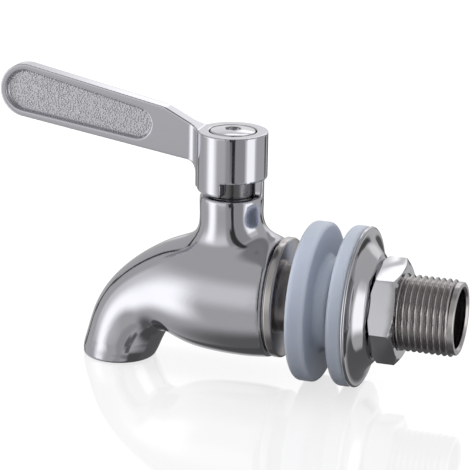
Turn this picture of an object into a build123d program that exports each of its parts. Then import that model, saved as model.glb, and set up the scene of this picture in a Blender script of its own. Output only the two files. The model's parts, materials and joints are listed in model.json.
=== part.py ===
from build123d import *
from math import acos, asin, cos, degrees, pi, radians, sin, sqrt, tan
import os

# Lever tap for a drinks dispenser: a cast spout body with a quarter-turn ball valve, and a
# threaded shank with washers and a nut that clamp the wall of the dispenser.
# Sizes are in millimetres. +X runs along the shank to the inlet, -X to the spout, +Z is up.
# The origin is on the shank's axis, in the rear face of the collar, which faces the wall.

# Tailpiece: collar, threaded shank, and the nose that screws into the body
thread_dia = 16.662
shank_length = 38.35
shank_bore_dia = 13.0
bore_mouth_chamfer = 0.45
thread_end_chamfer = 0.6
collar_dia = 26.4
collar_width = 2.4
collar_round = 0.5
nose_dia = 20.9
nose_length = 2.8
pilot_length = 1.2
body_seal_width = 0.8

# Ball valve
ball_dia = 13.2
ball_bore_dia = 8.0
seat_rim = 0.8
seat_floor = 0.6
seat_lip = 3.2
slot_floor = 0.7

# Stem
stem_dia = 9.6
flange_step = 1.1
flange_height = 1.3
thrust_washer_height = 0.8
tang_thickness = 3.0
tang_end_gap = 0.15
o_ring_section = 1.55
o_ring_rise = 3.4
o_ring_pitch = 4.4
o_ring_squeeze = 0.02
groove_width = 2.1
square_inset = 0.3
square_length = 4.8

# Spout body, from the rear of the barrel to the outlet
barrel_rear_dia = 26.6
barrel_overrun = 4.0
barrel_overrun_dia = 25.9
belly_run = 8.0
belly_dia = 27.6
front_reach = 3.9
front_drop = 0.1
front_dia = 26.7
shoulder_reach = 11.4
shoulder_drop = 0.9
shoulder_dia = 23.1
elbow_back = 5.2
elbow_rise = 12.6
elbow_dia = 17.0
throat_back = 2.3
throat_rise = 7.9
throat_dia = 16.9
spout_reach = 25.9
outlet_drop = 17.8
outlet_dia = 16.6
lip_height = 2.0
lip_step = 0.08
lip_round = 0.8
spout_wall = 2.0
neck_dia = 14.0
neck_top = 22.25
neck_round = 0.7
neck_fillet = 4.5
body_edge_chamfer = 0.4
lug_angle = 40.0

# Lever handle
hub_dia = 15.3
hub_round = 0.7
hub_gap = 0.75
notch_height = 3.2
web_height = 1.9
head_recess_depth = 3.13
lever_turn = 90.0
arm_thickness = 3.3
arm_root_fillet = 3.5
arm_under_fillet = 2.6
arm_under_rise = 0.8
grip_reach = 47.8
grip_rise = 18.0
grip_end_radius = 5.95
bend_reach = 16.4
bend_rise = 13.6
bend_radius = 4.0
arm_root_rise = 6.9
arm_root_height = 3.8
rim_width = 1.25
recess_length = 26.6
recess_slope = 10.4
recess_inner_radius = 3.55
recess_depth = 1.1
recess_draft = 22.0

# Handle screw and its spring washer
screw_dia = 5.0
screw_length = 9.0
head_dia = 9.8
head_height = 2.6
head_crown = 0.6
hex_socket = 3.2
hex_socket_depth = 1.6
spring_washer_dia = 8.8
spring_washer_height = 1.1
spring_washer_split = 0.8

# Washers and nut on the shank
wall_washer_dia = 35.0
wall_washer_round = 1.0
wall_spigot_dia = 20.0
wall_spigot_height = 2.9
wall_spigot_round = 1.2
front_washer_start = 4.0
front_washer_width = 4.2
wall_gap = 4.8
rear_washer_width = 3.4
dish_sheet = 0.8
dish_flange = 2.8
dish_rise = 3.1
dish_crown_dia = 22.6
dish_bend_radius = 2.0
nut_width = 5.6
nut_flats = 20.2
nut_sides = 6
nut_turn = 10.0
nut_chamfer_angle = 30.0

# Fits
running_fit = 0.05
ball_fit = 0.10
loose_fit = 0.15
free_fit = 0.27
end_gap = 0.3
stop_gap_angle = 2.0

# Derived places along the shank's axis
ball_radius = ball_dia / 2
seat_back = ball_radius + seat_floor
seat_radius = ball_radius + seat_rim
chamber_radius = seat_radius + running_fit
seam_x = -collar_width
nose_end_x = seam_x - nose_length
step_x = nose_end_x - body_seal_width
pilot_end_x = nose_end_x - pilot_length
stem_x = pilot_end_x - seat_back
outlet_x = stem_x - spout_reach
rear_washer_x = front_washer_start + front_washer_width + wall_gap
dish_x = rear_washer_x + rear_washer_width
nut_x = dish_x + dish_rise + dish_sheet

# Derived heights along the stem's axis
stem_radius = stem_dia / 2
neck_bore_radius = stem_radius + running_fit
flange_radius = stem_radius + flange_step
flange_bottom = chamber_radius + end_gap
flange_top = flange_bottom + flange_height
ceiling_z = flange_top + thrust_washer_height
slot_z = ball_bore_dia / 2 + slot_floor
hub_bottom = neck_top + hub_gap
hub_seat = hub_bottom + notch_height
square_top = hub_seat + square_length
socket_top = square_top + end_gap
screw_seat = socket_top + web_height
head_seat = screw_seat + spring_washer_height
screw_end = head_seat - screw_length
hub_top = screw_seat + head_recess_depth
hub_radius = hub_dia / 2
square_side = (stem_dia - 2 * square_inset) / sqrt(2)
groove_root = stem_radius - o_ring_section
o_ring_heights = {
    "stem_o_ring_lower": ceiling_z + o_ring_rise,
    "stem_o_ring_upper": ceiling_z + o_ring_rise + o_ring_pitch,
}

os.makedirs("parts", exist_ok=True)


def finish(part, name):
    part.label = name
    export_step(part, f"parts/{name}.step")


# Spout body: circles lofted along a centreline that leaves the barrel and turns down
body_stations = [
    (seam_x + barrel_overrun, 0, barrel_overrun_dia / 2),
    (seam_x, 0, barrel_rear_dia / 2),
    (seam_x - belly_run, 0, belly_dia / 2),
    (stem_x - front_reach, -front_drop, front_dia / 2),
    (stem_x - shoulder_reach, -shoulder_drop, shoulder_dia / 2),
    (outlet_x + elbow_back, elbow_rise - outlet_drop, elbow_dia / 2),
    (outlet_x + throat_back, throat_rise - outlet_drop, throat_dia / 2),
    (outlet_x, lip_height - outlet_drop, outlet_dia / 2),
]
with BuildLine(Plane.XZ) as spout_line:
    Spline([(x, z) for x, z, _ in body_stations], tangents=[(-1, 0), (0, -1)])
spout_path = spout_line.edge()


def station_plane(x, z):
    at = spout_path.param_at_point((x, 0, z))
    return Plane(origin=(x, 0, z), x_dir=(0, 1, 0), z_dir=spout_path.tangent_at(at))


with BuildPart() as spout_body:
    with BuildSketch(Plane(origin=(outlet_x, 0, -outlet_drop))):
        Circle(outlet_dia / 2 - lip_step)
    extrude(amount=lip_height)
    fillet(spout_body.edges().group_by(Axis.Z)[0], lip_round)
    for x, z, radius in body_stations:
        with BuildSketch(station_plane(x, z)):
            Circle(radius)
    loft()
    with BuildSketch(Plane(origin=(stem_x, 0, 0))):
        Circle(neck_dia / 2)
    extrude(amount=neck_top)
    neck_base = spout_body.edges().filter_by_position(Axis.Z, chamber_radius, neck_top, (False, False))
    fillet(neck_base.filter_by(GeomType.LINE, reverse=True), neck_fillet)
    fillet(spout_body.edges().group_by(Axis.Z)[-1], neck_round)
    # Rear of the barrel faced off at the seam, with its edge broken
    with BuildSketch(Plane.XZ) as barrel_facing:
        with BuildLine():
            face_edge = (seam_x, barrel_rear_dia / 2 - body_edge_chamfer)
            outer_edge = (seam_x - barrel_overrun, face_edge[1] + barrel_overrun)
            Polyline(
                (seam_x, 0),
                face_edge,
                outer_edge,
                (seam_x + 2 * barrel_overrun, outer_edge[1]),
                (seam_x + 2 * barrel_overrun, 0),
                close=True,
            )
        make_face()
    revolve(barrel_facing.sketch, axis=Axis.X, mode=Mode.SUBTRACT)
    # Valve chamber, threaded mouth and stem bores
    with BuildSketch(Plane.YZ.offset(stem_x - seat_back)):
        Circle(chamber_radius)
    extrude(amount=seat_back - stem_x, mode=Mode.SUBTRACT)
    with BuildSketch(Plane.YZ.offset(step_x)):
        Circle(nose_dia / 2 + running_fit)
    extrude(amount=-step_x, mode=Mode.SUBTRACT)
    with BuildSketch(Plane(origin=(stem_x, 0, 0))):
        Circle(flange_radius + loose_fit)
    extrude(amount=ceiling_z, mode=Mode.SUBTRACT)
    with BuildSketch(Plane(origin=(stem_x, 0, 0))):
        Circle(neck_bore_radius)
    extrude(amount=neck_top, mode=Mode.SUBTRACT)
    # Water way from the front seat round to the outlet
    with BuildSketch(Plane(origin=(stem_x - seat_back, 0, 0), x_dir=(0, 1, 0), z_dir=(-1, 0, 0))):
        Circle(ball_bore_dia / 2)
    for x, z, radius in body_stations[5:]:
        with BuildSketch(station_plane(x, z)):
            Circle(radius - spout_wall)
    loft(mode=Mode.SUBTRACT)
    with BuildSketch(Plane(origin=(outlet_x, 0, -outlet_drop))):
        Circle(outlet_dia / 2 - spout_wall)
    extrude(amount=lip_height, mode=Mode.SUBTRACT)
    # Stop lug on the neck's rim
    with BuildSketch(Plane(origin=(stem_x, 0, neck_top - neck_round))):
        with BuildLine():
            lug_outer = CenterArc((0, 0), neck_dia / 2, 0, lug_angle)
            lug_inner = CenterArc((0, 0), neck_bore_radius, 0, lug_angle)
            Line(lug_outer @ 0, lug_inner @ 0)
            Line(lug_outer @ 1, lug_inner @ 1)
        make_face()
    extrude(amount=neck_round + hub_gap + notch_height - end_gap)
finish(spout_body.part, "spout_body")

# Tailpiece: pilot, nose, collar and shank turned as one piece, bored through
with BuildPart() as tailpiece:
    with BuildSketch(Plane.YZ.offset(pilot_end_x)):
        Circle(seat_radius)
    extrude(amount=pilot_length)
    with BuildSketch(Plane.YZ.offset(nose_end_x)):
        Circle(nose_dia / 2)
    extrude(amount=nose_length)
    with BuildSketch(Plane.YZ.offset(seam_x)):
        Circle(collar_dia / 2)
    extrude(amount=collar_width)
    fillet(tailpiece.edges().filter_by(GeomType.CIRCLE).sort_by(SortBy.RADIUS)[-2:], collar_round)
    with BuildSketch(Plane.YZ):
        Circle(thread_dia / 2)
    extrude(amount=shank_length)
    chamfer(tailpiece.edges().group_by(Axis.X)[-1], thread_end_chamfer)
    with BuildSketch(Plane.YZ):
        Circle(shank_bore_dia / 2)
    extrude(amount=shank_length, mode=Mode.SUBTRACT)
    with BuildSketch(Plane.YZ):
        Circle(shank_bore_dia / 2)
    with BuildSketch(Plane.YZ.offset(pilot_end_x)):
        Circle(ball_bore_dia / 2)
    loft(mode=Mode.SUBTRACT)
    mouth = tailpiece.edges().group_by(Axis.X)[-1].sort_by(SortBy.RADIUS)[0]
    chamfer(mouth, bore_mouth_chamfer)
finish(tailpiece.part, "tailpiece")

# Body seal: flat ring squeezed between the nose and the body's inner step
with BuildPart() as body_seal:
    with BuildSketch(Plane.YZ.offset(step_x)):
        Circle(nose_dia / 2)
        Circle(seat_radius + running_fit, mode=Mode.SUBTRACT)
    extrude(amount=body_seal_width)
finish(body_seal.part, "body_seal")

# Valve seats: rings with a spherical face against the ball
cup_radius = ball_radius + ball_fit
seat_bore_radius = ball_bore_dia / 2 + ball_fit
with BuildPart() as rear_seat:
    with BuildSketch(Plane.XZ):
        with BuildLine():
            lip_angle = degrees(acos(seat_lip / cup_radius))
            bore_angle = degrees(asin(seat_bore_radius / cup_radius))
            cup = CenterArc((stem_x, 0), cup_radius, bore_angle, lip_angle - bore_angle)
            Polyline(
                cup @ 1,
                (stem_x + seat_lip, seat_radius),
                (stem_x + seat_back, seat_radius),
                (stem_x + seat_back, seat_bore_radius),
                cup @ 0,
            )
        make_face()
    revolve(axis=Axis.X)
with BuildPart() as front_seat:
    mirror(rear_seat.part, about=Plane.YZ.offset(stem_x))
finish(rear_seat.part, "rear_seat")
finish(front_seat.part, "front_seat")

# Valve ball: bored along the flow, slotted across it on top for the stem
with BuildPart() as valve_ball:
    with Locations((stem_x, 0, 0)):
        Sphere(ball_radius)
    with BuildSketch(Plane.YZ.offset(stem_x - ball_radius)):
        Circle(ball_bore_dia / 2)
    extrude(amount=ball_dia, mode=Mode.SUBTRACT)
    with BuildSketch(Plane(origin=(stem_x, 0, slot_z))):
        Rectangle(tang_thickness + 2 * ball_fit, ball_dia)
    extrude(amount=ball_radius, mode=Mode.SUBTRACT)
finish(valve_ball.part, "valve_ball")

# Stem: tang, flange, packing grooves, square for the handle and a tapped end
with BuildPart() as stem:
    with BuildSketch(Plane(origin=(stem_x, 0, flange_bottom))):
        Circle(flange_radius)
    extrude(amount=flange_height)
    with BuildSketch(Plane(origin=(stem_x, 0, flange_top))):
        Circle(stem_radius)
    extrude(amount=hub_seat - flange_top)
    with BuildSketch(Plane(origin=(stem_x, 0, hub_seat))):
        Rectangle(square_side, square_side)
    extrude(amount=square_length)
    with BuildSketch(Plane(origin=(stem_x, 0, slot_z + tang_end_gap))):
        Circle(seat_lip - end_gap)
        Rectangle(tang_thickness, 2 * seat_lip, mode=Mode.INTERSECT)
    extrude(amount=flange_bottom - slot_z - tang_end_gap)
    for height in o_ring_heights.values():
        with BuildSketch(Plane(origin=(stem_x, 0, height - groove_width / 2))):
            Circle(stem_radius)
            Circle(groove_root, mode=Mode.SUBTRACT)
        extrude(amount=groove_width, mode=Mode.SUBTRACT)
    with BuildSketch(Plane(origin=(stem_x, 0, square_top))):
        Circle(screw_dia / 2 + running_fit)
    extrude(amount=screw_end - end_gap - square_top, mode=Mode.SUBTRACT)
finish(stem.part, "stem")

# Thrust washer between the stem's flange and the body
with BuildPart() as thrust_washer:
    with BuildSketch(Plane(origin=(stem_x, 0, flange_top))):
        Circle(flange_radius)
        Circle(stem_radius + running_fit, mode=Mode.SUBTRACT)
    extrude(amount=thrust_washer_height)
finish(thrust_washer.part, "thrust_washer")

# Stem packing: two O-rings in the stem's grooves
for name, height in o_ring_heights.items():
    with BuildPart() as o_ring:
        with Locations((stem_x, 0, height)):
            Torus(groove_root + o_ring_section / 2 + o_ring_squeeze, o_ring_section / 2 - o_ring_squeeze)
    finish(o_ring.part, name)

# Lever handle: the arm is its side outline crossed with its plan, joined to a round hub
with BuildSketch(Plane.XZ) as lever_side:
    with Locations((stem_x - grip_reach, hub_bottom + grip_rise)):
        Circle(grip_end_radius)
    with Locations((stem_x - bend_reach, hub_bottom + bend_rise)):
        Circle(bend_radius)
    with Locations((stem_x, hub_bottom + arm_root_rise)):
        Rectangle(arm_root_height, arm_root_height)
    make_hull()
    with Locations((stem_x - hub_radius, hub_bottom + arm_under_rise)):
        Rectangle(hub_radius, arm_root_rise - arm_under_rise, align=Align.MIN)
    arm_underside = lever_side.vertices().group_by(Axis.X)[-3]
    fillet(arm_underside.sort_by(Axis.Y)[-1], arm_under_fillet)
with BuildSketch(Plane.XY.offset(hub_bottom)) as lever_plan:
    with Locations((stem_x, 0)):
        Circle(hub_radius)
    with Locations((stem_x - (grip_reach + grip_end_radius) / 2, 0)):
        Rectangle(grip_reach + grip_end_radius, arm_thickness)
    fillet(lever_plan.vertices().group_by(Axis.X)[1], arm_root_fillet)
grip_centre = (stem_x - grip_reach, hub_bottom + grip_rise)
recess_end = (
    grip_centre[0] + recess_length * cos(radians(recess_slope)),
    grip_centre[1] - recess_length * sin(radians(recess_slope)),
)
with BuildPart() as lever_handle:
    extrude(lever_side.sketch, amount=hub_radius, both=True)
    extrude(lever_plan.sketch, amount=grip_rise + grip_end_radius, mode=Mode.INTERSECT)
    with BuildSketch(Plane(origin=(stem_x, 0, hub_bottom))):
        Circle(hub_radius)
    extrude(amount=hub_top - hub_bottom)
    fillet(lever_handle.edges().group_by(Axis.Z)[0], hub_round)
    # Grip panel sunk into both faces of the arm
    for side in (1, -1):
        face = Plane(origin=(0, -side * arm_thickness / 2, 0), x_dir=(side, 0, 0), z_dir=(0, -side, 0))
        with BuildSketch(face):
            with Locations((side * grip_centre[0], grip_centre[1])):
                Circle(grip_end_radius - rim_width)
            with Locations((side * recess_end[0], recess_end[1])):
                Circle(recess_inner_radius)
            make_hull()
        extrude(amount=-recess_depth, taper=recess_draft, mode=Mode.SUBTRACT)
    # Bores for the stem, its square and the screw
    with BuildSketch(Plane(origin=(stem_x, 0, hub_bottom))):
        Circle(neck_bore_radius)
    extrude(amount=notch_height, mode=Mode.SUBTRACT)
    with BuildSketch(Plane(origin=(stem_x, 0, hub_seat))):
        Rectangle(square_side + 2 * running_fit, square_side + 2 * running_fit)
    extrude(amount=socket_top - hub_seat, mode=Mode.SUBTRACT)
    with BuildSketch(Plane(origin=(stem_x, 0, hub_seat))):
        Circle(screw_dia / 2 + loose_fit)
    extrude(amount=hub_top - hub_seat, mode=Mode.SUBTRACT)
    with BuildSketch(Plane(origin=(stem_x, 0, screw_seat))):
        Circle(head_dia / 2 + free_fit)
    extrude(amount=head_recess_depth, mode=Mode.SUBTRACT)
    # Notch that the lug stops at both ends of the quarter turn
    with BuildSketch(Plane(origin=(stem_x, 0, hub_bottom))):
        with BuildLine():
            notch_sweep = lever_turn + lug_angle + 2 * stop_gap_angle
            notch_arc = CenterArc((0, 0), hub_dia, -lever_turn - stop_gap_angle, notch_sweep)
            Line(notch_arc @ 0, (0, 0))
            Line(notch_arc @ 1, (0, 0))
        make_face()
    extrude(amount=notch_height, mode=Mode.SUBTRACT)
finish(lever_handle.part, "lever_handle")

# Handle screw: domed head with a hexagon socket
with BuildPart() as handle_screw:
    with BuildSketch(Plane.XZ):
        with BuildLine():
            rim = (stem_x + head_dia / 2, head_seat + head_height - head_crown)
            crown = (stem_x, head_seat + head_height)
            dome = TangentArc(crown, rim, tangent=(1, 0))
            Polyline(
                dome @ 1,
                (stem_x + head_dia / 2, head_seat),
                (stem_x + screw_dia / 2, head_seat),
                (stem_x + screw_dia / 2, screw_end),
                (stem_x, screw_end),
                crown,
            )
        make_face()
    revolve(axis=Axis((stem_x, 0, 0), (0, 0, 1)))
    with BuildSketch(Plane(origin=(stem_x, 0, head_seat + head_height))):
        RegularPolygon(hex_socket / 2, side_count=6, major_radius=False)
    extrude(amount=-hex_socket_depth, mode=Mode.SUBTRACT)
finish(handle_screw.part, "handle_screw")

# Spring washer under the screw's head: a split ring
with BuildPart() as spring_washer:
    with BuildSketch(Plane(origin=(stem_x, 0, screw_seat))):
        Circle(spring_washer_dia / 2)
        Circle(screw_dia / 2 + loose_fit, mode=Mode.SUBTRACT)
        with Locations((spring_washer_dia / 2, 0)):
            Rectangle(spring_washer_dia, spring_washer_split, mode=Mode.SUBTRACT)
    extrude(amount=spring_washer_height)
finish(spring_washer.part, "spring_washer")

# Wall washers: soft rings either side of the dispenser's wall; the front one has a spigot that
# centres it in the wall's hole
wall_washers = (
    ("front_washer", front_washer_start, front_washer_width, wall_spigot_height),
    ("rear_washer", rear_washer_x, rear_washer_width, 0),
)
for name, start, width, spigot_height in wall_washers:
    with BuildPart() as washer:
        with BuildSketch(Plane.YZ.offset(start)):
            Circle(wall_washer_dia / 2)
        extrude(amount=width)
        fillet(washer.edges().filter_by(GeomType.CIRCLE), wall_washer_round)
        if spigot_height:
            with BuildSketch(Plane.YZ.offset(start + width)):
                Circle(wall_spigot_dia / 2)
            extrude(amount=spigot_height)
            spigot_edges = washer.edges().filter_by(GeomType.CIRCLE).group_by(Axis.X)[-2:]
            fillet([edges.sort_by(SortBy.RADIUS)[0] for edges in spigot_edges], wall_spigot_round)
        with BuildSketch(Plane.YZ.offset(start)):
            Circle(thread_dia / 2 + free_fit)
        extrude(amount=width + spigot_height, mode=Mode.SUBTRACT)
    finish(washer.part, name)

# Dished washer: pressed sheet with a flat flange and a raised crown for the nut
with BuildPart() as dished_washer:
    with BuildSketch(Plane.XZ):
        with BuildLine():
            FilletPolyline(
                (dish_x + dish_sheet / 2, wall_washer_dia / 2),
                (dish_x + dish_sheet / 2, wall_washer_dia / 2 - dish_flange),
                (dish_x + dish_rise + dish_sheet / 2, dish_crown_dia / 2),
                (dish_x + dish_rise + dish_sheet / 2, thread_dia / 2 + free_fit),
                radius=dish_bend_radius,
            )
        trace(line_width=dish_sheet)
    revolve(axis=Axis.X)
finish(dished_washer.part, "dished_washer")

# Lock nut: hexagon with its corners turned off at both ends
with BuildPart() as lock_nut:
    with BuildSketch(Plane.YZ.offset(nut_x)):
        RegularPolygon(nut_flats / 2, nut_sides, major_radius=False, rotation=nut_turn)
        Circle(thread_dia / 2 + running_fit, mode=Mode.SUBTRACT)
    extrude(amount=nut_width)
    with BuildSketch(Plane.XZ) as nut_turning:
        corner_radius = nut_flats / 2 / cos(pi / nut_sides)
        corner_run = (corner_radius - nut_flats / 2) * tan(radians(nut_chamfer_angle))
        with BuildLine():
            Polyline(
                (nut_x, 0),
                (nut_x, nut_flats / 2),
                (nut_x + corner_run, corner_radius),
                (nut_x + nut_width - corner_run, corner_radius),
                (nut_x + nut_width, nut_flats / 2),
                (nut_x + nut_width, 0),
                close=True,
            )
        make_face()
    revolve(nut_turning.sketch, axis=Axis.X, mode=Mode.INTERSECT)
finish(lock_nut.part, "lock_nut")
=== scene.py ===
import json
import math
import bmesh
import bpy
import numpy as np
from mathutils import Matrix, Vector


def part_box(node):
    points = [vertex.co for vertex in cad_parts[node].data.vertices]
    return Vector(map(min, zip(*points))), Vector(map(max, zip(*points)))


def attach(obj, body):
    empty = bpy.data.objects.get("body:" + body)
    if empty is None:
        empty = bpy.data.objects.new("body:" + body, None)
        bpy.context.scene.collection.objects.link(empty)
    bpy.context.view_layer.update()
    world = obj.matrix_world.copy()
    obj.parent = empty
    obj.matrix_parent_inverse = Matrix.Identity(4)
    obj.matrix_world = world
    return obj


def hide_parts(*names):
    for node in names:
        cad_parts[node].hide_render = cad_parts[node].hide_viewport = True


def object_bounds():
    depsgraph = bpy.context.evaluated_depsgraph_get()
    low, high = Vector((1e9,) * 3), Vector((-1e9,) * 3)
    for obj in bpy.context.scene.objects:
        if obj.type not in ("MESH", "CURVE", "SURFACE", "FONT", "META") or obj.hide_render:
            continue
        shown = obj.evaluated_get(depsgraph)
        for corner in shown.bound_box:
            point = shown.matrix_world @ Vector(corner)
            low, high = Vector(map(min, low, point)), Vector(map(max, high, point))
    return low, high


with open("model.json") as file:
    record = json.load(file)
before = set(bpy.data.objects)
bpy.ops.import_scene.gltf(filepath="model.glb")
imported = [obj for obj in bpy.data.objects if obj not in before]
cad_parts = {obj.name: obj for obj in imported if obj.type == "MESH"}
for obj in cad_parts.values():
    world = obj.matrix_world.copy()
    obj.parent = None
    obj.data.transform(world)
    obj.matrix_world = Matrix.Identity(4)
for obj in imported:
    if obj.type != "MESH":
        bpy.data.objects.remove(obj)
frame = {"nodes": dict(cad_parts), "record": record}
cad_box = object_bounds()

# The tap's own sizes are in millimetres, and MM turns them into metres
MM = 0.001
# Each node's material slot and body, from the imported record
SLOT_OF = {row["node"]: row["material_slot"] for row in frame["record"]["subparts"]}
BODY_OF = {node: body for body, nodes in frame["record"]["behaviour"]["bodies"].items() for node in nodes}


# Colours and nodes

def linear(hex_colour):
    """An sRGB hex colour as linear RGBA."""
    parts = [int(hex_colour[i:i + 2], 16) / 255 for i in (1, 3, 5)]
    return [c / 12.92 if c <= 0.04045 else ((c + 0.055) / 1.055) ** 2.4 for c in parts] + [1.0]


def add(tree, kind, inputs=None, **settings):
    """Adds a node. inputs gives each socket a value, or links it to another node's output, where a node
    stands for its first output."""
    node = tree.nodes.new(kind)
    for name, value in settings.items():
        setattr(node, name, value)
    for socket, value in (inputs or {}).items():
        if isinstance(value, bpy.types.Node):
            value = value.outputs[0]
        if isinstance(value, bpy.types.NodeSocket):
            tree.links.new(value, node.inputs[socket])
        else:
            node.inputs[socket].default_value = value
    return node


def new_material(name):
    """An empty material and its node tree."""
    material = bpy.data.materials.new(name)
    material.use_nodes = True
    material.node_tree.nodes.clear()
    return material, material.node_tree


def new_tree(name, inputs):
    """An empty geometry node tree with named inputs of the given kinds, the inputs' identifiers, and their
    outputs inside the tree."""
    tree = bpy.data.node_groups.new(name, "GeometryNodeTree")
    tree.interface.new_socket("Geometry", in_out="OUTPUT", socket_type="NodeSocketGeometry")
    identifiers = {}
    for label, kind in inputs.items():
        socket = tree.interface.new_socket(label, in_out="INPUT", socket_type="NodeSocket" + kind)
        identifiers[label] = socket.identifier
    return tree, identifiers, add(tree, "NodeGroupInput").outputs


# Materials

# Marks on steel: the noise values they span, their strength as a share of the roughness, their depth
MARK_SPAN = (0.3, 0.7)
MARK_STRENGTH = 0.25
MARK_DEPTH = 0.1
# The size of the clouds in silicone, and how deep light glows into it
SILICONE_CLOUD = 8.0
SILICONE_GLOW = 4.0
PLASTIC_GRAIN = 0.5
PLASTIC_GRAIN_DEPTH = 0.05


def steel(name, colour, roughness, grain, streak=1.0):
    """Stainless steel with faint cloudy marks. Its roughness goes from low to high over them, grain is
    their size in mm, and a small streak draws them out round the shank's axis into turned rings."""
    material, tree = new_material(name)
    place = add(tree, "ShaderNodeTexCoord").outputs["Object"]
    along = add(tree, "ShaderNodeMapping", {"Vector": place, "Scale": (1.0, streak, streak)})
    marks = add(tree, "ShaderNodeTexNoise", {"Vector": along, "Scale": 1 / (grain * MM), "Detail": 2.0})
    rough = add(tree, "ShaderNodeMapRange", {
        "Value": marks, "From Min": MARK_SPAN[0], "From Max": MARK_SPAN[1],
        "To Min": roughness[0], "To Max": roughness[1]})
    bump = add(tree, "ShaderNodeBump", {
        "Height": marks, "Strength": roughness[0] * MARK_STRENGTH, "Distance": MARK_DEPTH * MM})
    metal = add(tree, "ShaderNodeBsdfPrincipled", {
        "Base Color": linear(colour), "Metallic": 1.0, "Roughness": rough, "Normal": bump})
    add(tree, "ShaderNodeOutputMaterial", {"Surface": metal})
    return material


def moulded_silicone():
    """Moulded translucent silicone rubber: satin skin, light glows a little way into the edge."""
    material, tree = new_material("moulded_silicone")
    place = add(tree, "ShaderNodeTexCoord").outputs["Object"]
    cloud = add(tree, "ShaderNodeTexNoise", {
        "Vector": place, "Scale": 1 / (SILICONE_CLOUD * MM), "Detail": 2.0})
    tint = add(tree, "ShaderNodeValToRGB", {"Fac": cloud})
    tint.color_ramp.elements[0].color = linear("#B4BCCB")
    tint.color_ramp.elements[1].color = linear("#BDC4D1")
    rubber = add(tree, "ShaderNodeBsdfPrincipled", {
        "Base Color": tint, "Roughness": 0.4, "IOR": 1.41, "Subsurface Weight": 0.85,
        "Subsurface Radius": (1.0, 0.92, 1.0), "Subsurface Scale": SILICONE_GLOW * MM})
    add(tree, "ShaderNodeOutputMaterial", {"Surface": rubber})
    return material


def plain_plastic(name, colour, roughness):
    """Machined or moulded plastic of the hidden seats and seals, with a faint grain."""
    material, tree = new_material(name)
    place = add(tree, "ShaderNodeTexCoord").outputs["Object"]
    grain = add(tree, "ShaderNodeTexNoise", {"Vector": place, "Scale": 1 / (PLASTIC_GRAIN * MM)})
    bump = add(tree, "ShaderNodeBump", {
        "Height": grain, "Strength": 0.1, "Distance": PLASTIC_GRAIN_DEPTH * MM})
    body = add(tree, "ShaderNodeBsdfPrincipled", {
        "Base Color": linear(colour), "Roughness": roughness, "Normal": bump})
    add(tree, "ShaderNodeOutputMaterial", {"Surface": body})
    return material


# Cast, ground and mop-polished: clear, slightly soft reflections
POLISHED = steel("polished_cast_stainless", "#C6C6CC", roughness=(0.07, 0.11), grain=4.0)
# Bright hexagon bar and pressed sheet: near-mirror
BRIGHT = steel("bright_drawn_stainless", "#C9C9CD", roughness=(0.05, 0.09), grain=2.0)
# As it comes off the lathe: fine rings round the shank's axis, coarser than real ones so as to show
TURNED = steel("turned_stainless", "#B6B2B2", roughness=(0.13, 0.24), grain=0.3, streak=0.02)
# Stem: darker steel than the rest, with dark, blurred reflections
DARK_STEM_STEEL = steel("dark_turned_stainless", "#7C7A7C", roughness=(0.18, 0.26), grain=1.5)
# Grip panel, left as cast and shot-blasted: pale satin grey, its grit coarser than real so as to show
BLASTED = steel("blasted_cast_stainless", "#D4D4D8", roughness=(0.42, 0.5), grain=0.6)
SILICONE = moulded_silicone()
# Seats, seal and thrust washer cut from PTFE bar: waxy white
PTFE = plain_plastic("machined_ptfe", "#E6E5E0", roughness=0.45)
# The stem's rings of nitrile rubber: dull black
NITRILE = plain_plastic("moulded_nitrile", "#1C1C1D", roughness=0.5)
# The finish of each material slot, and of the nodes that differ from their slot
FINISH_OF_SLOT = {"polished_steel": POLISHED, "turned_steel": TURNED, "silicone": SILICONE, "ptfe": PTFE,
                  "nitrile": NITRILE}
FINISH_OF_NODE = {"lock_nut": BRIGHT, "dished_washer": BRIGHT, "handle_screw": BRIGHT, "stem": DARK_STEM_STEEL,
                  "valve_ball": BRIGHT}


# Making pieces

# Lengths are in mm and angles in degrees; LEAST_SOFT keeps a hard ramp from dividing by zero
WELD = 0.002
FLAT_ANGLE = 0.3
SHARP_ANGLE = 30
ROUNDED_SHARP_ANGLE = 40
ROUND_STEPS = 3
ARC_STEPS = 6
EASE_FACTOR = 0.5
LEAST_SOFT = 0.01


def new_piece(name, mesh):
    """An object for a mesh that already holds its place."""
    piece = bpy.data.objects.new(name, mesh)
    bpy.context.collection.objects.link(piece)
    return piece


def stands_for(piece, node):
    """The piece rides, shows and is painted in place of a node of the frame."""
    slot = SLOT_OF[node]
    piece.data.materials.clear()
    piece.data.materials.append(FINISH_OF_NODE.get(node, FINISH_OF_SLOT[slot]))
    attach(piece, BODY_OF[node])
    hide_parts(node)


def applied(piece):
    """The piece with its modifiers worked into its mesh, and the modifiers gone."""
    seen = piece.evaluated_get(bpy.context.evaluated_depsgraph_get())
    mesh = bpy.data.meshes.new_from_object(seen)
    piece.modifiers.clear()
    piece.data = mesh
    return piece


def grown(piece, tree, identifiers, values):
    """The piece with a geometry node tree worked into its mesh. values go to the tree's named inputs."""
    nodes = piece.modifiers.new(tree.name, "NODES")
    nodes.node_group = tree
    for name, value in values.items():
        nodes[identifiers[name]] = value
    return applied(piece)


def shade(mesh, sharp_angle):
    """Smooth shading up to the real edges."""
    mesh.shade_smooth()
    mesh.set_sharp_from_angle(angle=math.radians(sharp_angle))


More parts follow.
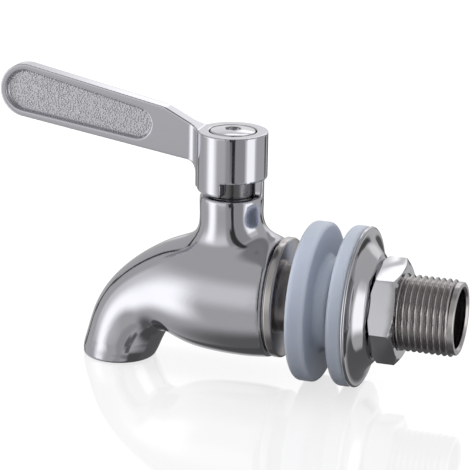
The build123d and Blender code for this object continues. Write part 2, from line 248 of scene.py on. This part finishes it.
def smooth_copy(node, edge_round=0.0):
    """A node's own form, welded and shaded smooth, with its sharp edges rounded by edge_round mm."""
    mesh = bpy.data.meshes.new(node + "_skin")
    form = bmesh.new()
    form.from_mesh(frame["nodes"][node].data)
    bmesh.ops.remove_doubles(form, verts=form.verts, dist=WELD * MM)
    if edge_round:
        flat = math.radians(FLAT_ANGLE)
        bmesh.ops.dissolve_limit(form, angle_limit=flat, verts=form.verts, edges=form.edges)
    form.to_mesh(mesh)
    form.free()
    shade(mesh, SHARP_ANGLE)
    piece = new_piece(node + "_skin", mesh)
    if edge_round:
        rounds = piece.modifiers.new("edge_rounds", "BEVEL")
        rounds.width = edge_round * MM
        rounds.segments = ROUND_STEPS
        rounds.limit_method = "ANGLE"
        rounds.angle_limit = math.radians(SHARP_ANGLE)
        flats = piece.modifiers.new("flat_faces", "WEIGHTED_NORMAL")
        flats.keep_sharp = True
        applied(piece)
        shade(piece.data, ROUNDED_SHARP_ANGLE)
    return piece


def fine_skin(node, voxel, rounds):
    """A node's own form in an even mesh of voxel mm, its edges eased by a few smoothing rounds."""
    piece = smooth_copy(node)
    even = piece.modifiers.new("even_mesh", "REMESH")
    even.mode = "VOXEL"
    even.voxel_size = voxel * MM
    even.use_smooth_shade = True
    eased = piece.modifiers.new("eased_edges", "SMOOTH")
    eased.factor = EASE_FACTOR
    eased.iterations = rounds
    return applied(piece)


def ramp(value, edge, soft):
    """0 before an edge and 1 after it, easing over soft."""
    part = np.clip((value - edge) / max(soft, LEAST_SOFT) + 0.5, 0, 1)
    return part * part * (3 - 2 * part)


def mopped(piece, share, rounds):
    """Eases part of a skin, as a polishing mop does. share gives each point's part in it, from 0 to 1."""
    x, y, z = (np.array([vertex.co[axis] / MM for vertex in piece.data.vertices]) for axis in range(3))
    part = share(x, y, z)
    held = piece.vertex_groups.new(name="mopped")
    for index in np.flatnonzero(part):
        held.add([int(index)], float(part[index]), "REPLACE")
    mop = piece.modifiers.new("mop", "SMOOTH")
    mop.vertex_group = held.name
    mop.factor = EASE_FACTOR
    mop.iterations = rounds
    applied(piece)
    piece.vertex_groups.clear()


def turned_mesh(name, profile, columns):
    """A turned form: a profile of (place along the shank's axis, radius) in mm, spun round that axis."""
    angles = np.arange(columns) * 2 * math.pi / columns
    rings = [[(x * MM, r * MM * math.cos(a), r * MM * math.sin(a)) for a in angles] for x, r in profile]
    points = [point for ring in rings for point in ring]
    faces = [(i * columns + j, i * columns + (j + 1) % columns, (i + 1) * columns + (j + 1) % columns,
              (i + 1) * columns + j) for i in range(len(profile) - 1) for j in range(columns)]
    mesh = bpy.data.meshes.new(name)
    mesh.from_pydata(points, [], faces)
    return mesh


def weld_shut(mesh, *others):
    """Takes in other meshes, merges the seams and turns every face outwards."""
    form = bmesh.new()
    for source in (mesh, *others):
        form.from_mesh(source)
    bmesh.ops.remove_doubles(form, verts=form.verts, dist=WELD * MM)
    bmesh.ops.recalc_face_normals(form, faces=form.faces)
    form.to_mesh(mesh)
    form.free()


def arc(centre, radius, start, end):
    """Points of an arc in a profile, angles in degrees."""
    angles = [math.radians(start + (end - start) * i / ARC_STEPS) for i in range(ARC_STEPS + 1)]
    return [(centre[0] + radius * math.cos(a), centre[1] + radius * math.sin(a)) for a in angles]


# Spout body: a cast skin, polished by hand at the lip and in the hollow of the neck

BODY_VOXEL = 0.31
BODY_ROUNDS = 8
OUTLET_X = -39.5
LIP_LOW = -17.0
LIP_HIGH = -13.4
LIP_INNER_RADIUS = 7.7
LIP_ROUNDS = 60
STEM_X = -13.6
NECK_INNER_RADIUS = 6.4
NECK_OUTER_RADIUS = 13.5
NECK_LOW = 10.0
NECK_LOW_SOFT = 3.0
NECK_HIGH = 18.5
NECK_SOFT = 4.0
NECK_ROUNDS = 200


def lip_share(x, y, z):
    """The outside of the spout's end, where the lip's fine step is polished away."""
    reach = np.hypot(x - OUTLET_X, y)
    return (z > LIP_LOW) * (z < LIP_HIGH) * (reach > LIP_INNER_RADIUS)


def neck_share(x, y, z):
    """The hollow curve from the neck into the barrel."""
    reach = np.hypot(x - STEM_X, y)
    near = (reach > NECK_INNER_RADIUS) * ramp(-reach, -NECK_OUTER_RADIUS, NECK_SOFT)
    return near * ramp(z, NECK_LOW, NECK_LOW_SOFT) * ramp(-z, -NECK_HIGH, NECK_SOFT)


def make_spout_body():
    """The body's skin with its lip and neck mopped."""
    body = fine_skin("spout_body", BODY_VOXEL, BODY_ROUNDS)
    mopped(body, lip_share, LIP_ROUNDS)
    mopped(body, neck_share, NECK_ROUNDS)
    return body


# Tailpiece: turned collar and a rolled pipe thread

SHANK_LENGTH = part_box("tailpiece")[1][0] / MM
COLLAR_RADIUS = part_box("tailpiece")[1][2] / MM
COLLAR_WIDTH = 2.4
COLLAR_ROUND = 0.5
SEAM_WIDTH = 0.35
SEAM_DEPTH = 0.9
PILOT_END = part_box("tailpiece")[0][0] / MM
PILOT_RADIUS = 7.4
NOSE_RADIUS = 10.45
NOSE_END = -5.2
BALL_BORE_RADIUS = 4.0
SHANK_BORE_RADIUS = 6.5
MOUTH_CHAMFER = 0.45
THREAD_RADIUS = 8.331
THREAD_PITCH = 1.337
THREAD_DEPTH = 0.856
THREAD_END_CHAMFER = 0.6
THREAD_RELIEF = 1.2
THREAD_PLAIN_END = 1.15
THREAD_COLUMNS = 120
THREAD_SHARP_ANGLE = 32
ROWS_PER_TURN = 14


def thread_tree():
    """Geometry nodes: a sheet rolled into a tube whose radius follows the thread's wave."""
    tree, identifiers, given = new_tree("rolled_thread", {
        "Length": "Float", "Pitch": "Float", "Crest": "Float", "Depth": "Float", "End Chamfer": "Float",
        "Relief": "Float", "Plain End": "Float", "Rows": "Int", "Columns": "Int", "Finish": "Material"})
    sheet = add(tree, "GeometryNodeMeshGrid", {
        "Size X": 1.0, "Size Y": 1.0, "Vertices X": given["Rows"], "Vertices Y": given["Columns"]})
    place = add(tree, "ShaderNodeSeparateXYZ", {0: add(tree, "GeometryNodeInputPosition")})
    part = add(tree, "ShaderNodeMath", {0: place.outputs["X"], 1: 0.5}, operation="ADD")
    along = add(tree, "ShaderNodeMath", {0: part, 1: given["Length"]}, operation="MULTIPLY")
    turn = add(tree, "ShaderNodeMath", {0: place.outputs["Y"], 1: 0.5}, operation="ADD")

    # The wave goes from 1 on a crest to 0 in the root and back over each pitch, and winds round the shank
    pitches = add(tree, "ShaderNodeMath", {0: along, 1: given["Pitch"]}, operation="DIVIDE")
    wound = add(tree, "ShaderNodeMath", {0: pitches, 1: turn}, operation="SUBTRACT")
    phase = add(tree, "ShaderNodeMath", {0: wound}, operation="FRACT")
    swing = add(tree, "ShaderNodeMath", {0: phase, 1: 2.0, 2: -1.0}, operation="MULTIPLY_ADD")
    wave = add(tree, "ShaderNodeMath", {0: swing}, operation="ABSOLUTE")
    tooth = add(tree, "ShaderNodeMapRange", {"Value": wave}, interpolation_type="SMOOTHSTEP")
    root = add(tree, "ShaderNodeMath", {0: given["Crest"], 1: given["Depth"]}, operation="SUBTRACT")
    ridge = add(tree, "ShaderNodeMath", {0: tooth, 1: given["Depth"], 2: root}, operation="MULTIPLY_ADD")

    # The inlet's end is plain, half as high as the crests, and chamfered; a relief parts thread and collar
    last = add(tree, "ShaderNodeMath", {0: given["Length"], 1: given["Plain End"]}, operation="SUBTRACT")
    past = add(tree, "ShaderNodeMath", {0: along, 1: last}, operation="GREATER_THAN")
    plain = add(tree, "ShaderNodeMath", {0: given["Depth"], 1: 0.5, 2: root}, operation="MULTIPLY_ADD")
    outside = add(tree, "GeometryNodeSwitch", {"Switch": past, "False": ridge, "True": plain},
                  input_type="FLOAT")
    left = add(tree, "ShaderNodeMath", {0: given["Length"], 1: along}, operation="SUBTRACT")
    slant = add(tree, "ShaderNodeMath", {0: given["Crest"], 1: left}, operation="ADD")
    chamfer = add(tree, "ShaderNodeMath", {0: slant, 1: given["End Chamfer"]}, operation="SUBTRACT")
    clear = add(tree, "ShaderNodeMath", {0: along, 1: given["Relief"]}, operation="SUBTRACT")
    rise = add(tree, "ShaderNodeMath", {0: clear, 1: 0.0}, operation="MAXIMUM")
    start = add(tree, "ShaderNodeMath", {0: root, 1: rise}, operation="ADD")
    trimmed = add(tree, "ShaderNodeMath", {0: outside, 1: chamfer}, operation="MINIMUM")
    radius = add(tree, "ShaderNodeMath", {0: trimmed, 1: start}, operation="MINIMUM")

    # The sheet is rolled up round the shank's axis
    angle = add(tree, "ShaderNodeMath", {0: turn, 1: 2 * math.pi}, operation="MULTIPLY")
    cosine = add(tree, "ShaderNodeMath", {0: angle}, operation="COSINE")
    sine = add(tree, "ShaderNodeMath", {0: angle}, operation="SINE")
    across = add(tree, "ShaderNodeMath", {0: radius, 1: cosine}, operation="MULTIPLY")
    upward = add(tree, "ShaderNodeMath", {0: radius, 1: sine}, operation="MULTIPLY")
    rolled = add(tree, "ShaderNodeCombineXYZ", {"X": along, "Y": across, "Z": upward})
    tube = add(tree, "GeometryNodeSetPosition", {"Geometry": sheet, "Position": rolled})
    closed = add(tree, "GeometryNodeMergeByDistance", {"Geometry": tube, "Distance": WELD * MM})
    outward = add(tree, "GeometryNodeFlipFaces", {"Mesh": closed})
    real = add(tree, "GeometryNodeRealizeInstances", {"Geometry": outward})
    painted = add(tree, "GeometryNodeSetMaterial", {"Geometry": real, "Material": given["Finish"]})
    add(tree, "NodeGroupOutput", {"Geometry": painted})
    return tree, identifiers


def make_tailpiece():
    """Collar, nose and bore turned in one, with the thread rolled on the shank."""
    shank = new_piece("tailpiece_skin", bpy.data.meshes.new("shank_thread"))
    grown(shank, *thread_tree(), {
        "Length": SHANK_LENGTH * MM, "Pitch": THREAD_PITCH * MM, "Crest": THREAD_RADIUS * MM,
        "Depth": THREAD_DEPTH * MM, "End Chamfer": THREAD_END_CHAMFER * MM, "Relief": THREAD_RELIEF * MM,
        "Plain End": THREAD_PLAIN_END * MM, "Rows": round(SHANK_LENGTH / THREAD_PITCH * ROWS_PER_TURN),
        "Columns": THREAD_COLUMNS + 1, "Finish": TURNED})
    collar_front = -COLLAR_WIDTH
    seam = collar_front + SEAM_WIDTH
    edge = COLLAR_RADIUS - COLLAR_ROUND
    profile = [(SHANK_LENGTH, THREAD_RADIUS - THREAD_END_CHAMFER),
               (SHANK_LENGTH, SHANK_BORE_RADIUS + MOUTH_CHAMFER),
               (SHANK_LENGTH - MOUTH_CHAMFER, SHANK_BORE_RADIUS), (0, SHANK_BORE_RADIUS),
               (PILOT_END, BALL_BORE_RADIUS), (PILOT_END, PILOT_RADIUS), (NOSE_END, PILOT_RADIUS),
               (NOSE_END, NOSE_RADIUS), (collar_front, NOSE_RADIUS),
               (collar_front, COLLAR_RADIUS - SEAM_DEPTH), (seam, COLLAR_RADIUS - SEAM_DEPTH)]
    profile += arc((seam + COLLAR_ROUND, edge), COLLAR_ROUND, 180, 90)
    profile += arc((-COLLAR_ROUND, edge), COLLAR_ROUND, 90, 0)
    profile += [(0, THREAD_RADIUS - THREAD_DEPTH)]
    weld_shut(shank.data, turned_mesh("turned_rest", profile, THREAD_COLUMNS))
    shade(shank.data, THREAD_SHARP_ANGLE)
    return shank


# Dished washer: pressed sheet, spun from its middle line

DISH_LOW, DISH_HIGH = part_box("dished_washer")
DISH_SHEET = 0.8
DISH_FLANGE = 2.8
DISH_CROWN_RADIUS = 11.3
DISH_BORE_RADIUS = 8.601
DISH_BENDS = (6.0, 2.0)
DISH_BEND_STEPS = 8
DISH_COLUMNS = 160
DISH_SHARP_ANGLE = 40


def bent_line(corners, radii):
    """Points along a line whose inner corners are rounded, each by its own radius."""
    points = [np.array(corners[0])]
    for before, corner, after, radius in zip(corners, corners[1:], corners[2:], radii):
        corner = np.array(corner)
        back = (np.array(before) - corner) / np.linalg.norm(np.array(before) - corner)
        ahead = (np.array(after) - corner) / np.linalg.norm(np.array(after) - corner)
        half = math.acos(float(back @ ahead)) / 2
        middle = corner + (back + ahead) / np.linalg.norm(back + ahead) * radius / math.sin(half)
        first = corner + back * radius / math.tan(half) - middle
        last = corner + ahead * radius / math.tan(half) - middle
        for i in range(DISH_BEND_STEPS + 1):
            spoke = first + (last - first) * i / DISH_BEND_STEPS
            points.append(middle + spoke / np.linalg.norm(spoke) * radius)
    return points + [np.array(corners[-1])]


def make_dished_washer():
    """The sheet's two faces and rolled edges, spun round the shank's axis."""
    rim = DISH_HIGH[2] / MM
    half = DISH_SHEET / 2
    flange_x = DISH_LOW[0] / MM + half
    crown_x = DISH_HIGH[0] / MM - half
    line = bent_line([(flange_x, rim - half), (flange_x, rim - DISH_FLANGE), (crown_x, DISH_CROWN_RADIUS),
                      (crown_x, DISH_BORE_RADIUS + half)], DISH_BENDS)
    along = np.gradient(np.array(line), axis=0)
    across = np.stack([-along[:, 1], along[:, 0]], axis=1) / np.linalg.norm(along, axis=1)[:, None] * half
    rear = [tuple(p + a) for p, a in zip(line, across)]
    front = [tuple(p - a) for p, a in zip(line, across)]
    profile = rear + arc(line[-1], half, 0, -180)[1:-1] + front[::-1] + arc(line[0], half, 180, 0)[1:]
    mesh = turned_mesh("dished_washer_skin", profile, DISH_COLUMNS)
    weld_shut(mesh)
    shade(mesh, DISH_SHARP_ANGLE)
    return new_piece("dished_washer_skin", mesh)


# Grip panel: small domes over the floor of the recess in both faces of the lever

GRIP_END = (-61.4, 41.0)
GRIP_INNER = (-35.24, 36.2)
GRIP_RADII = (4.2, 3.05)
GRIP_FLOOR = 0.58
GRIP_BACK = 0.3
GRIP_STEPS = 24
# Faces further out than this from the lever's middle carry domes: the plates' floors, not their sides
DOMED_FROM = 0.5
DOME_RADIUS = 0.27
DOME_SPACING = 0.42
DOME_FLATNESS = 0.4
DOME_SIZES = (0.7, 1.15)
# Points a square metre that are tried, more than the spacing leaves room for
DOME_TRIES = 1.2e7


def domes_tree():
    """Geometry nodes: flattened domes of varied size, scattered evenly over a plate's outer face."""
    tree, identifiers, given = new_tree("grip_domes", {
        "Geometry": "Geometry", "Radius": "Float", "Spacing": "Float", "Outer": "Float",
        "Finish": "Material"})
    place = add(tree, "ShaderNodeSeparateXYZ", {0: add(tree, "GeometryNodeInputPosition")})
    reach = add(tree, "ShaderNodeMath", {0: place.outputs["Y"]}, operation="ABSOLUTE")
    outer = add(tree, "ShaderNodeMath", {0: reach, 1: given["Outer"]}, operation="GREATER_THAN")
    points = add(tree, "GeometryNodeDistributePointsOnFaces", {
        "Mesh": given["Geometry"], "Selection": outer, "Distance Min": given["Spacing"],
        "Density Max": DOME_TRIES, "Seed": 4}, distribute_method="POISSON")
    ball = add(tree, "GeometryNodeMeshIcoSphere", {"Radius": given["Radius"], "Subdivisions": 2})
    flat = add(tree, "GeometryNodeTransform", {"Geometry": ball, "Scale": (1.0, 1.0, DOME_FLATNESS)})
    smooth = add(tree, "GeometryNodeSetShadeSmooth", {"Geometry": flat})
    varied = add(tree, "FunctionNodeRandomValue", {2: DOME_SIZES[0], 3: DOME_SIZES[1], "Seed": 7})
    domes = add(tree, "GeometryNodeInstanceOnPoints", {
        "Points": points, "Instance": smooth, "Rotation": points.outputs["Rotation"],
        "Scale": varied.outputs[1]})
    panel = add(tree, "GeometryNodeJoinGeometry", {0: given["Geometry"]})
    tree.links.new(domes.outputs[0], panel.inputs[0])
    real = add(tree, "GeometryNodeRealizeInstances", {"Geometry": panel})
    painted = add(tree, "GeometryNodeSetMaterial", {"Geometry": real, "Material": given["Finish"]})
    add(tree, "NodeGroupOutput", {"Geometry": painted})
    return tree, identifiers


def make_grip():
    """A thin plate of domes on the floor of each recess, carried by the lever."""
    turn = math.atan2(GRIP_INNER[1] - GRIP_END[1], GRIP_INNER[0] - GRIP_END[0])
    tilt = math.acos((GRIP_RADII[0] - GRIP_RADII[1]) / math.dist(GRIP_END, GRIP_INNER))
    outline = []
    for (x, z), radius, start, end in ((GRIP_END, GRIP_RADII[0], turn + tilt, turn + 2 * math.pi - tilt),
                                       (GRIP_INNER, GRIP_RADII[1], turn - tilt, turn + tilt)):
        for i in range(GRIP_STEPS + 1):
            angle = start + (end - start) * i / GRIP_STEPS
            outline.append((x + radius * math.cos(angle), z + radius * math.sin(angle)))
    form = bmesh.new()
    for side in (-1, 1):
        outer, back = ([form.verts.new((x * MM, side * y * MM, z * MM)) for x, z in outline]
                       for y in (GRIP_FLOOR, GRIP_BACK))
        form.faces.new(outer)
        form.faces.new(back)
        for i in range(len(outline)):
            form.faces.new((outer[i - 1], outer[i], back[i], back[i - 1]))
    bmesh.ops.recalc_face_normals(form, faces=form.faces)
    mesh = bpy.data.meshes.new("grip_domes")
    form.to_mesh(mesh)
    form.free()
    grip = grown(new_piece("grip_domes", mesh), *domes_tree(), {
        "Radius": DOME_RADIUS * MM, "Spacing": DOME_SPACING * MM, "Outer": DOMED_FROM * MM,
        "Finish": BLASTED})
    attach(grip, BODY_OF["lever_handle"])


# Every node gets its piece: from its own function, as a fine skin of a voxel size in mm and a number of
# rounds, or as a smooth copy with its edges rounded in mm

OWN_FUNCTIONS = {"spout_body": make_spout_body, "tailpiece": make_tailpiece,
                 "dished_washer": make_dished_washer}
FINE_SKINS = {"lever_handle": (0.2, 4), "stem": (0.15, 3)}
EDGE_ROUNDS = {"lock_nut": 0.15, "handle_screw": 0.15}
for node in frame["nodes"]:
    if node in OWN_FUNCTIONS:
        piece = OWN_FUNCTIONS[node]()
    elif node in FINE_SKINS:
        piece = fine_skin(node, *FINE_SKINS[node])
    else:
        piece = smooth_copy(node, EDGE_ROUNDS.get(node, 0.0))
    stands_for(piece, node)
make_grip()


# Floor, light and camera, in metres and watts

TENT_RADIUS = 1.6
TENT_COLUMNS = 360
TENT_ROWS = 180
# The level of the painted reflection where no patch lies
PAINTED_REFLECTION_BASE = 0.55
# Painted reflections: patches painted inside the tent, bright ones for highlights and dark ones for dark
# streaks, each over the one before,
# in degrees: azimuth from and to (0 is the front, + is the inlet's side) and its softness, elevation from
# and to and its softness; then the level of the painted glow
PAINTED_REFLECTION_PATCHES = (
    (-180, 180, 0, -95, -58, 30, 0.15),
    (0, 200, 20, 54, 95, 12, 0.27),
    (-180, 180, 0, 74, 95, 10, 0.29),
    (42, 230, 14, -95, -46, 14, 0.1),
    (104, 194, 8, -60, -24, 8, 0.13),
    (146, 159, 4, -16, 0, 5, 0.08),
    (170, 200, 5, -19, -7, 4, 0.1),
    (-100, 8, 10, -48, -14, 24, 0.56),
    (-88, 3, 10, -9, 28, 26, 0.9),
    (-69, -41, 23, -35, 15, 30, 1.7),
    (-4, 16, 10, -60, 40, 20, 0.43),
    (27, 64, 6, -28, 46, 12, 0.4),
    (64, 97, 16, -25, 20, 12, 1.55),
    (62, 100, 12, 16, 38, 12, 0.76),
    (150, 212, 8, 30, 48, 10, 0.7),
    (150, 212, 8, 2, 34, 12, 0.98),
    (150, 174, 6, 22, 50, 6, 0.4),
    (166, 184, 6, 18, 32, 5, 1.25),
    (183, 197, 4, 20, 31, 4, 1.6),
    (183, 206, 4, 37, 48, 4, 1.75),
    (8.5, 26.5, 4, -14, 70, 5, 0.05),
    (15.5, 25.5, 3, -25, -12, 4, 0.03),
    (19, 32, 4, -34, -23, 5, 0.15),
    (26, 40, 5, -46, -32, 6, 0.15),
    (-117, -111.5, 2, 8, 42, 3, 0.03),
    (-121, -115, 2, -6, 9, 3, 0.04),
    (-126, -119.5, 2, -15, -5, 3, 0.06),
    (-134, -126, 3, -26, -14, 4, 0.1),
)
FLOOR_REACH = 6.0
FLOOR_GLOW = 0.72
SURROUND_LIGHT = 0.58
SURROUND_WHITE = 1.0
# Each soft box: its place, width, height and power
SOFT_BOXES = {
    "top_box": ((0.0, 0.1, 0.7), 0.8, 0.6, 2.3),
    "front_box": ((0.3, -0.95, 0.16), 0.5, 0.5, 3.0),
    "left_box": ((-0.9, 0.1, 0.3), 0.4, 0.4, 6.0),
}


def painted_reflection_tent():
    """A glowing dome painted with bright patches and dark gaps: painted reflections, which only
    reflections show; it lights nothing else and casts no shadow.
    """
    azimuth, elevation = np.meshgrid(np.linspace(-180, 180, TENT_COLUMNS + 1),
                                     np.linspace(-90, 90, TENT_ROWS + 1))
    level = np.full(azimuth.shape, PAINTED_REFLECTION_BASE)
    for left, right, side_soft, bottom, top, end_soft, strength in PAINTED_REFLECTION_PATCHES:
        width = right - left
        turn = (azimuth - left + side_soft) % 360 - side_soft
        sides = 1.0 if width == 360 else ramp(turn, 0, side_soft) * ramp(width - turn, 0, side_soft)
        mask = sides * ramp(elevation, bottom, end_soft) * ramp(-elevation, -top, end_soft)
        level += (strength - level) * mask
    a, e = np.radians(azimuth), np.radians(elevation)
    points = np.stack([np.sin(a) * np.cos(e), -np.cos(a) * np.cos(e), np.sin(e)], axis=-1) * TENT_RADIUS
    ring = TENT_COLUMNS + 1
    corner = (np.arange(TENT_ROWS)[:, None] * ring + np.arange(TENT_COLUMNS)).ravel()
    faces = np.stack([corner, corner + 1, corner + ring + 1, corner + ring], axis=1)
    mesh = bpy.data.meshes.new("painted_reflection_tent")
    mesh.from_pydata(points.reshape(-1, 3).tolist(), [], faces.tolist())
    mesh.attributes.new("level", "FLOAT", "POINT").data.foreach_set("value", level.ravel())
    # The dome's glow is the painted reflection, its level taken from the painted patches
    material, tree = new_material("painted_reflection_glow")
    painted = add(tree, "ShaderNodeAttribute", attribute_name="level")
    glow = add(tree, "ShaderNodeEmission", {"Strength": painted.outputs["Fac"]})
    add(tree, "ShaderNodeOutputMaterial", {"Surface": glow})
    mesh.materials.append(material)
    tent = new_piece("painted_reflection_tent", mesh)
    tent.visible_camera = False
    tent.visible_diffuse = False
    tent.visible_shadow = False


def pale_floor():
    """White paper under the tap, which catches its shadow and a faint reflection."""
    material, tree = new_material("white_paper")
    paper = add(tree, "ShaderNodeBsdfPrincipled", {
        "Base Color": linear("#767676"), "Roughness": 0.05, "Specular IOR Level": 0.5})
    rays = add(tree, "ShaderNodeLightPath")
    dark = add(tree, "ShaderNodeEmission", {"Strength": 0.0})
    white = add(tree, "ShaderNodeEmission", {"Strength": FLOOR_GLOW})
    lift = add(tree, "ShaderNodeMixShader", {0: rays.outputs["Is Camera Ray"], 1: dark, 2: white})
    both = add(tree, "ShaderNodeAddShader", {0: paper, 1: lift})
    add(tree, "ShaderNodeOutputMaterial", {"Surface": both})
    mesh = bpy.data.meshes.new("floor")
    corners = [(x * FLOOR_REACH, y * FLOOR_REACH, cad_box[0][2])
               for x, y in ((-1, -1), (1, -1), (1, 1), (-1, 1))]
    mesh.from_pydata(corners, [], [(0, 1, 2, 3)])
    mesh.materials.append(material)
    floor = new_piece("floor", mesh)
    floor.visible_glossy = False


def white_surround():
    """The world: white wherever it is seen, and a dimmer soft light on the tap."""
    world = bpy.data.worlds.new("white_surround")
    bpy.context.scene.world = world
    world.use_nodes = True
    tree = world.node_tree
    tree.nodes.clear()
    rays = add(tree, "ShaderNodeLightPath").outputs
    direct = add(tree, "ShaderNodeMath", {0: rays["Is Camera Ray"], 1: rays["Is Glossy Ray"]},
                 operation="MAXIMUM")
    seen = add(tree, "ShaderNodeMath", {0: direct, 1: rays["Is Transmission Ray"]}, operation="MAXIMUM")
    level = add(tree, "ShaderNodeMapRange", {
        "Value": seen, "To Min": SURROUND_LIGHT, "To Max": SURROUND_WHITE})
    sky = add(tree, "ShaderNodeBackground", {"Color": linear("#FFFFFF"), "Strength": level})
    add(tree, "ShaderNodeOutputWorld", {"Surface": sky})


def soft_box(name, place, width, height, power):
    """An area lamp aimed at the tap, hidden from reflections, which show the tent's painted reflections
    instead.
    """
    light = bpy.data.lights.new(name, "AREA")
    light.shape = "RECTANGLE"
    light.size = width
    light.size_y = height
    light.energy = power
    lamp = bpy.data.objects.new(name, light)
    lamp.location = place
    lamp.rotation_euler = (-Vector(place)).to_track_quat("-Z", "Y").to_euler()
    lamp.visible_glossy = False
    bpy.context.collection.objects.link(lamp)


# The photograph's view, worked out from the thread's and washers' edges: degrees, mm and pixels
VIEW_AZIMUTH = 18.240
VIEW_ELEVATION = 17.385
VIEW_ROLL = 1.032
VIEW_DISTANCE = 499.49
VIEW_TARGET = (-12.712, 0.0, 12.841)
FOCAL_PIXELS = 2290.55
IMAGE_PIXELS = 470
SENSOR_WIDTH = 36
CLIP_START = 0.01


def set_camera():
    """The camera at the photograph's place, turned to its target and rolled by a degree."""
    azimuth, elevation, roll = (math.radians(a) for a in (VIEW_AZIMUTH, VIEW_ELEVATION, VIEW_ROLL))
    back = Vector((math.sin(azimuth) * math.cos(elevation), -math.cos(azimuth) * math.cos(elevation),
                   math.sin(elevation)))
    level = Vector((math.cos(azimuth), math.sin(azimuth), 0))
    right = Matrix.Rotation(roll, 3, back) @ level
    up = back.cross(right)
    lens = bpy.data.cameras.new("photo_view")
    lens.sensor_width = SENSOR_WIDTH
    lens.lens = FOCAL_PIXELS / IMAGE_PIXELS * SENSOR_WIDTH
    lens.clip_start = CLIP_START
    camera = bpy.data.objects.new("photo_view", lens)
    place = (Vector(VIEW_TARGET) + back * VIEW_DISTANCE) * MM
    camera.matrix_world = Matrix.Translation(place) @ Matrix((right, up, back)).transposed().to_4x4()
    bpy.context.collection.objects.link(camera)
    bpy.context.scene.camera = camera


bpy.context.scene.view_settings.view_transform = "Standard"
painted_reflection_tent()
pale_floor()
white_surround()
for name, (place, width, height, power) in SOFT_BOXES.items():
    soft_box(name, place, width, height, power)
set_camera()
